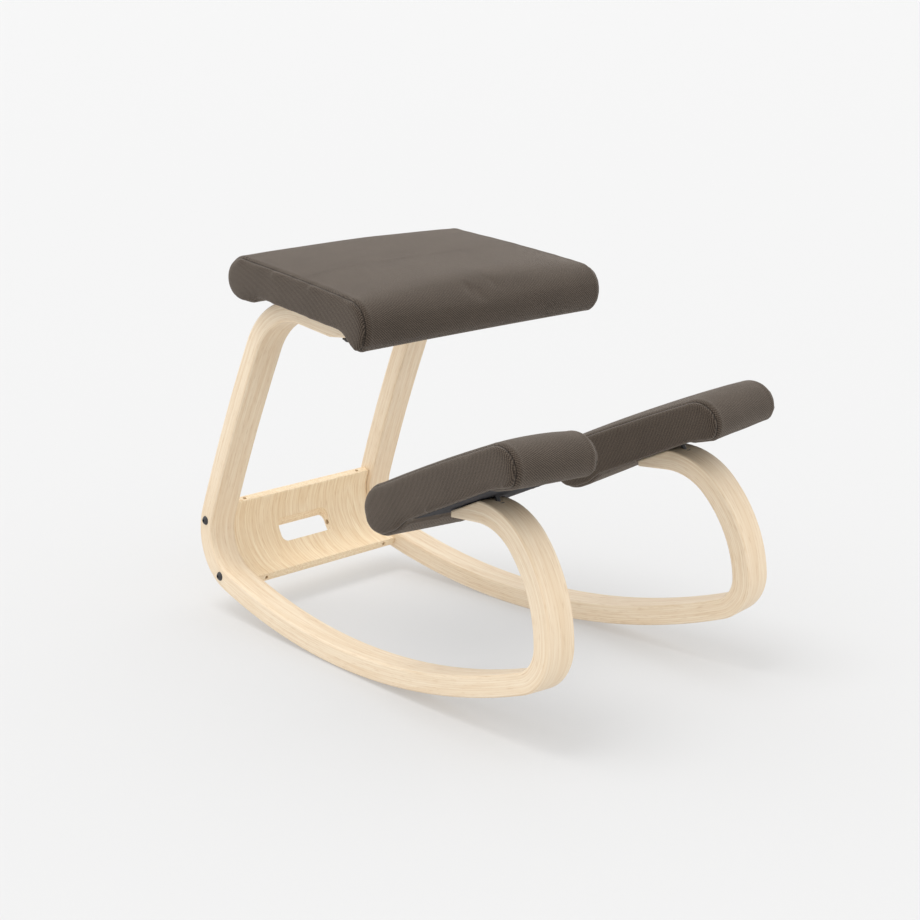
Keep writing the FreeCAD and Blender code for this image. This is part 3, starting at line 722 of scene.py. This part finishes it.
def puff_up(piece, held, most):
    """Cloth under inner pressure, held where it is sewn or stapled; no point moves past a cap."""
    before = mesh_points(piece.data)
    group = piece.vertex_groups.new(name="held")
    for index, weight in enumerate(held):
        if weight > 0.01:
            group.add([index], float(weight), "REPLACE")
    cloth = piece.modifiers.new("cloth", "CLOTH")
    cloth.settings.quality = 5
    cloth.settings.mass = 0.3
    cloth.settings.tension_stiffness = 25.0
    cloth.settings.compression_stiffness = 25.0
    cloth.settings.bending_stiffness = 4.0
    cloth.settings.use_pressure = True
    cloth.settings.uniform_pressure_force = INNER_PRESSURE
    cloth.settings.vertex_group_mass = "held"
    cloth.settings.effector_weights.gravity = 0.0
    cloth.collision_settings.use_collision = False
    cloth.point_cache.frame_start = 1
    cloth.point_cache.frame_end = CLOTH_STEPS
    for step in range(1, CLOTH_STEPS + 1):
        bpy.context.scene.frame_set(step)
    take_up(piece)
    bpy.ops.object.modifier_apply(modifier=cloth.name)
    bpy.context.scene.frame_set(1)
    after = mesh_points(piece.data)
    moved = after - before
    size = numpy.linalg.norm(moved, axis=1, keepdims=True)
    put_points(piece.data, before + moved * numpy.minimum(1.0, most / numpy.maximum(size, 1e-9)))


def relax(piece, rounds, factor):
    """Evens out the steps that the skin's grid leaves."""
    shape = bmesh.new()
    shape.from_mesh(piece.data)
    for _ in range(rounds):
        bmesh.ops.smooth_vert(shape, verts=shape.verts, factor=factor, use_axis_x=True, use_axis_y=True,
                              use_axis_z=True)
    shape.to_mesh(piece.data)
    shape.free()


def round_the_band(local):
    """How far round the band each point lies, from the shape of the cushion's own middle."""
    profile = local[:, 1:]
    arm = profile - (profile.max(axis=0) + profile.min(axis=0)) / 2
    turn = numpy.arctan2(arm[:, 0], arm[:, 1])
    reach = numpy.hypot(arm[:, 0], arm[:, 1])
    steps = numpy.linspace(-math.pi, math.pi, BAND_STEPS + 1)
    which = numpy.clip(numpy.digitize(turn, steps) - 1, 0, BAND_STEPS - 1)
    inner = numpy.abs(local[:, 0]) < 0.7 * numpy.abs(local[:, 0]).max()
    mean = numpy.full(BAND_STEPS, numpy.nan)
    for step in numpy.unique(which[inner]):
        mean[step] = reach[inner & (which == step)].mean()
    known = numpy.isfinite(mean)
    middles = (steps[:-1] + steps[1:]) / 2
    mean = numpy.interp(middles, middles[known], mean[known])
    ring = numpy.stack([mean * numpy.sin(middles), mean * numpy.cos(middles)], axis=1)
    pieces = numpy.linalg.norm(numpy.diff(ring, axis=0), axis=1)
    return numpy.interp(turn, middles, numpy.concatenate([[0.0], numpy.cumsum(pieces)]))


def sew(piece, axes, half_width, splay, middle):
    """Sinks the cloth along the seams and keeps the weave's and the seam's places for the material."""
    points = mesh_points(piece.data)
    seam = seam_distance(points, axes, half_width, splay, middle)
    groove = numpy.exp(-(seam / SEAM_GROOVE) ** 2)
    swell = numpy.exp(-((seam - SWELL_FROM_SEAM) / SWELL_WIDTH) ** 2) * SWELL_SHARE
    points = points + mesh_normals(piece.data) * (SEAM_DEPTH * (swell - groove))[:, None]
    put_points(piece.data, points)
    local = on_cushion(points, axes)
    along, out = local[:, 1], local[:, 2]
    lay = math.radians(PANEL_LAY)
    panel_across = along * math.cos(lay) - out * math.sin(lay)
    panel_up = along * math.sin(lay) + out * math.cos(lay)
    level = numpy.zeros(len(points))
    write_vectors(piece.data, "band_weave", numpy.stack([local[:, 0], round_the_band(local), level], axis=1))
    write_vectors(piece.data, "panel_weave", numpy.stack([panel_across, panel_up, level + 0.5], axis=1))
    kept = piece.data.attributes.new("seam", "FLOAT", "POINT")
    kept.data.foreach_set("value", seam.astype(numpy.float32))


def plump(piece, axes, length, stretch):
    """Fills the cushion out a little and draws it out along its length."""
    points = mesh_points(piece.data) + mesh_normals(piece.data) * FILL_OUT
    local = on_cushion(points, axes)
    local[:, 1] = length / 2 + (local[:, 1] - length / 2) * stretch
    put_points(piece.data, off_cushion(local, axes))


def open_recess(piece, axes, half_width, length):
    """Presses the skin in over the board, where the lining is stapled, with a soft border."""
    local = on_cushion(mesh_points(piece.data), axes)
    from_side = half_width + RECESS_BORDER / 2 - numpy.abs(local[:, 0])
    from_end = numpy.minimum(local[:, 1], length - local[:, 1])
    reach = numpy.clip(numpy.minimum(from_side, from_end) / RECESS_BORDER, 0.0, 1.0)
    floor_of_recess = RECESS_DEPTH * reach * reach * (3.0 - 2.0 * reach)
    under = (reach > 0.0) & (local[:, 2] < RECESS_BELOW)
    local[under, 2] = numpy.maximum(local[under, 2], floor_of_recess[under])
    put_points(piece.data, off_cushion(local, axes))


def upholster(name, cad_names, axes, half_width, length, splay, most, stretch, recess, levels):
    """A cushion from its CAD pieces: even skin, cloth under pressure, sewn seams."""
    piece = stuffed_skin(name, cad_names)
    drop_inner_shells(piece)
    relax(piece, 2, 0.5)
    plump(piece, axes, length, stretch)
    points = mesh_points(piece.data)
    local = on_cushion(points, axes)
    seam = seam_distance(points, axes, half_width, splay, length / 2)
    held = numpy.exp(-(seam / SEAM_HOLD) ** 2)
    past_end = numpy.abs(local[:, 1] - length / 2) - length / 2
    stapled = (local[:, 2] < STAPLED_BELOW) & (past_end < STAPLED_PAST_END)
    held = numpy.where(stapled, 1.0, held)
    puff_up(piece, held, most)
    relax(piece, 1, 0.4)
    open_recess(piece, axes, recess, length)
    take_up(piece)
    finer = piece.modifiers.new("finer", "SUBSURF")
    finer.levels = levels
    finer.render_levels = levels
    bpy.ops.object.modifier_apply(modifier=finer.name)
    sew(piece, axes, half_width, splay, length / 2)
    bpy.ops.object.shade_smooth()
    return piece


def twill_material(name, dark, light, rib):
    """Dense wool twill: diagonal ribs, flecked yarn, a soft nap and a sewn seam, with painted shade
    darkening the seam's groove.
    """
    material = bpy.data.materials.new(name)
    material.use_nodes = True
    tree = material.node_tree
    shader = tree.nodes["Principled BSDF"]
    band = new_node(tree, "ShaderNodeAttribute", attribute_name="band_weave")
    panel = new_node(tree, "ShaderNodeAttribute", attribute_name="panel_weave")
    seam = new_node(tree, "ShaderNodeAttribute", attribute_name="seam")
    weave = new_node(tree, "ShaderNodeMix", data_type="VECTOR")
    ribs = new_node(tree, "ShaderNodeVectorMath", operation="DOT_PRODUCT")
    ribs.inputs[1].default_value = RIB_WAY
    threads = new_node(tree, "ShaderNodeVectorMath", operation="DOT_PRODUCT")
    threads.inputs[1].default_value = THREAD_WAY
    math_node = math_in(tree)

    def noise_at(scale, detail):
        noise = new_node(tree, "ShaderNodeTexNoise")
        noise.inputs["Scale"].default_value = scale
        noise.inputs["Detail"].default_value = detail
        join_up(tree, (weave.outputs[1], noise.inputs["Vector"]))
        return noise.outputs["Fac"]

    past_seam = math_node("LESS_THAN", seam.outputs["Fac"], 0.0)
    join_up(tree, (past_seam, weave.inputs[0]), (band.outputs["Vector"], weave.inputs[4]),
            (panel.outputs["Vector"], weave.inputs[5]), (weave.outputs[1], ribs.inputs[0]),
            (weave.outputs[1], threads.inputs[0]))
    rib_wave = math_node("SINE", math_node("MULTIPLY", ribs.outputs["Value"], 2.0 * math.pi / rib))
    thread_wave = math_node("SINE", math_node("MULTIPLY", threads.outputs["Value"], 3.6 * math.pi / rib))
    cloth_height = math_node("MULTIPLY", rib_wave, 0.6)
    cloth_height = math_node("ADD", cloth_height, math_node("MULTIPLY", thread_wave, 0.4))
    flecks = noise_at(900.0, 2.0)
    drift = noise_at(22.0, 2.0)
    tone = math_node("ADD", math_node("MULTIPLY", cloth_height, 0.46), math_node("MULTIPLY", flecks, 1.8))
    tone = math_node("ADD", tone, math_node("MULTIPLY", drift, 0.25))
    tone = math_node("ADD", tone, -0.61, clamp=True)
    mixed = new_node(tree, "ShaderNodeMix", data_type="RGBA")
    mixed.inputs[6].default_value = dark
    mixed.inputs[7].default_value = light
    # Painted shade: the cloth colour is darkened along the seam's groove, over the width of the seam line.
    near = math_node("ABSOLUTE", seam.outputs["Fac"])
    line = math_node("SUBTRACT", 1.0, math_node("DIVIDE", near, SEAM_LINE), clamp=True)
    shade = new_node(tree, "ShaderNodeMix", data_type="RGBA", blend_type="MULTIPLY")
    shade.inputs[7].default_value = SEAM_PAINTED_SHADE
    height = math_node("SUBTRACT", cloth_height, math_node("MULTIPLY", line, 3.0))
    bump = new_node(tree, "ShaderNodeBump")
    bump.inputs["Strength"].default_value = 0.5
    bump.inputs["Distance"].default_value = 0.0006
    join_up(tree, (tone, mixed.inputs[0]), (mixed.outputs[2], shade.inputs[6]), (line, shade.inputs[0]),
            (shade.outputs[2], shader.inputs["Base Color"]), (height, bump.inputs["Height"]),
            (bump.outputs[0], shader.inputs["Normal"]))
    shader.inputs["Roughness"].default_value = 0.88
    shader.inputs["Specular IOR Level"].default_value = 0.15
    shader.inputs["Sheen Weight"].default_value = 0.27
    shader.inputs["Sheen Roughness"].default_value = 0.50
    shader.inputs["Sheen Tint"].default_value = NAP_TINT
    return material


def draw_tight_below(piece, axes, length, raised):
    """Draws the seat's underside up, as the stapled cloth does, most between its two rolls."""
    local = on_cushion(mesh_points(piece.data), axes)
    places = (-FRONT_ROLL, 0.004, length - 0.006, length + BACK_ROLL)
    kept = numpy.interp(local[:, 1], places, TIGHT_SHARES)
    below = local[:, 2] < TIGHT_BELOW
    local[below, 2] = TIGHT_BELOW - (TIGHT_BELOW - local[below, 2]) * kept[below]
    local[:, 2] += raised * numpy.clip((local[:, 2] - RAISED_ABOVE) / RAISED_OVER, 0.0, 1.0)
    put_points(piece.data, off_cushion(local, axes))


taupe_twill = twill_material("taupe_twill", CLOTH_DARK, CLOTH_LIGHT, TWILL_PITCH)
seat_along = (0.0, math.cos(SEAT_SLOPE), math.sin(SEAT_SLOPE))
seat_axes = cushion_axes(SEAT_ORIGIN, (1.0, 0.0, 0.0), seat_along)
seat = upholster("seat_cushion", ["seat_cover", "seat_foam", "seat_board", "seat_underside_cloth"],
                 seat_axes, SEAT_HALF_WIDTH, SEAT_LENGTH, SPLAY, SEAT_PUFF, SEAT_STRETCH, SEAT_RECESS, 1)
draw_tight_below(seat, seat_axes, SEAT_LENGTH, SEAT_RAISED)
finish_piece(seat, taupe_twill, "taupe_cloth", "seat_cover", "seat_foam")


# Knee pads: smaller cushions of the same make, one screwed to each looped tip. They slope down
# towards the seat and lean with the side frame that carries them.

PAD_ORIGIN = (-0.17251, -0.29610, 0.31486)
PAD_ACROSS = (0.997471, -0.052275, -0.048152)
PAD_ALONG = (0.026536, 0.902433, -0.430012)
PAD_HALF_WIDTH = 0.067
PAD_LENGTH = 0.162
PAD_PUFF = 0.004
PAD_STRETCH = 1.010
PAD_RECESS = 0.058

pad_axes = {}
for hand, side in (("right", -1), ("left", 1)):
    flip = Vector((-side, 1.0, 1.0))
    pad_axes[hand] = cushion_axes(Vector(PAD_ORIGIN) * flip, Vector(PAD_ACROSS) * flip * -side,
                                  Vector(PAD_ALONG) * flip)
    pad_parts = ["knee_pad_" + part + "_" + hand for part in ("cover", "foam", "board", "underside_cloth")]
    pad = upholster("knee_cushion_" + hand, pad_parts, pad_axes[hand], PAD_HALF_WIDTH, PAD_LENGTH,
                    0.0, PAD_PUFF, PAD_STRETCH, PAD_RECESS, 2)
    finish_piece(pad, taupe_twill, "taupe_cloth", pad_parts[0], pad_parts[1])


# Underside cloths and boards: thin black cloth stapled over the plywood in each cushion's recess,
# where the side frame's flat lies against it.

LINING_HALF_WIDTHS = {"seat": 0.184, "knee_pad": 0.0575}
LINING_FROM_END = 0.006
LINING_HEIGHT = 0.0012
LINING_THICKNESS = 0.0006
LINING_RIPPLE = 0.0004
LINING_DARK = (0.010, 0.011, 0.016, 1.0)
LINING_LIGHT = (0.028, 0.029, 0.038, 1.0)
PLY_PALE = (0.55, 0.38, 0.22, 1.0)
PLY_DARK = (0.40, 0.26, 0.14, 1.0)
PLY_GRAIN = (300.0, 12.0, 300.0)


def dark_cloth_material():
    """Thin black non-woven cloth with a pressed dimple pattern."""
    material = bpy.data.materials.new("black_underside_cloth")
    material.use_nodes = True
    tree = material.node_tree
    shader = tree.nodes["Principled BSDF"]
    place = new_node(tree, "ShaderNodeTexCoord")
    dimples = new_node(tree, "ShaderNodeTexVoronoi")
    dimples.inputs["Scale"].default_value = 700.0
    mottle = new_node(tree, "ShaderNodeTexNoise")
    mottle.inputs["Scale"].default_value = 160.0
    tones = new_node(tree, "ShaderNodeMix", data_type="RGBA")
    tones.inputs[6].default_value = LINING_DARK
    tones.inputs[7].default_value = LINING_LIGHT
    bump = new_node(tree, "ShaderNodeBump")
    bump.inputs["Strength"].default_value = 0.4
    bump.inputs["Distance"].default_value = 0.0003
    join_up(tree, (place.outputs["Object"], dimples.inputs["Vector"]),
            (place.outputs["Object"], mottle.inputs["Vector"]), (mottle.outputs["Fac"], tones.inputs[0]),
            (tones.outputs[2], shader.inputs["Base Color"]),
            (dimples.outputs["Distance"], bump.inputs["Height"]), (bump.outputs[0], shader.inputs["Normal"]))
    shader.inputs["Roughness"].default_value = 0.92
    return material


dark_cloth = dark_cloth_material()
board_ply = plain_wood_material("board_ply", PLY_PALE, PLY_DARK, PLY_GRAIN)
for stem, tail in (("seat", ""), ("knee_pad", "_right"), ("knee_pad", "_left")):
    dress_node(stem + "_board" + tail, board_ply)
    dress_node(stem + "_tee_nuts" + tail, zinc_steel)
    # Painted shade: the cushions' screws are dressed in black steel so that the shanks showing between each
    # knee pad and its frame read as the shaded gap there.
    dress_node(stem + "_screws" + tail, black_steel)
    dress_node(stem + "_washers" + tail, black_steel)


def stapled_lining(name, axes, half_width, length):
    """A thin cloth with rounded corners, lying in a cushion's recess with slight ripples."""
    bpy.ops.object.select_all(action="DESELECT")
    bpy.ops.mesh.primitive_grid_add(x_subdivisions=48, y_subdivisions=32, size=2.0)
    piece = bpy.context.active_object
    piece.name = name
    for vert in piece.data.vertices:
        a, u = vert.co.x, vert.co.y
        rounding = 1.0 - 0.035 * (a * u) ** 6
        ripple = LINING_RIPPLE * math.sin(a * 23.0) * math.cos(u * 17.0) * (1.0 - (a * u) ** 2)
        along = length / 2 + u * (length / 2 - LINING_FROM_END) * rounding
        local = numpy.array([a * half_width * rounding, along, LINING_HEIGHT + ripple])
        vert.co = Vector(off_cushion(local, axes))
    thin = piece.modifiers.new("thin", "SOLIDIFY")
    thin.thickness = LINING_THICKNESS
    thin.offset = 1.0
    bpy.ops.object.modifier_apply(modifier=thin.name)
    bpy.ops.object.shade_smooth()
    return piece


for stem, tail, axes, length in (("seat", "", seat_axes, SEAT_LENGTH),
                                 ("knee_pad", "_right", pad_axes["right"], PAD_LENGTH),
                                 ("knee_pad", "_left", pad_axes["left"], PAD_LENGTH)):
    half_width = LINING_HALF_WIDTHS[stem]
    lining = stapled_lining("black_lining_" + stem + tail, axes, half_width, length)
    finish_piece(lining, dark_cloth, "dark_cloth", stem + "_underside_cloth" + tail)
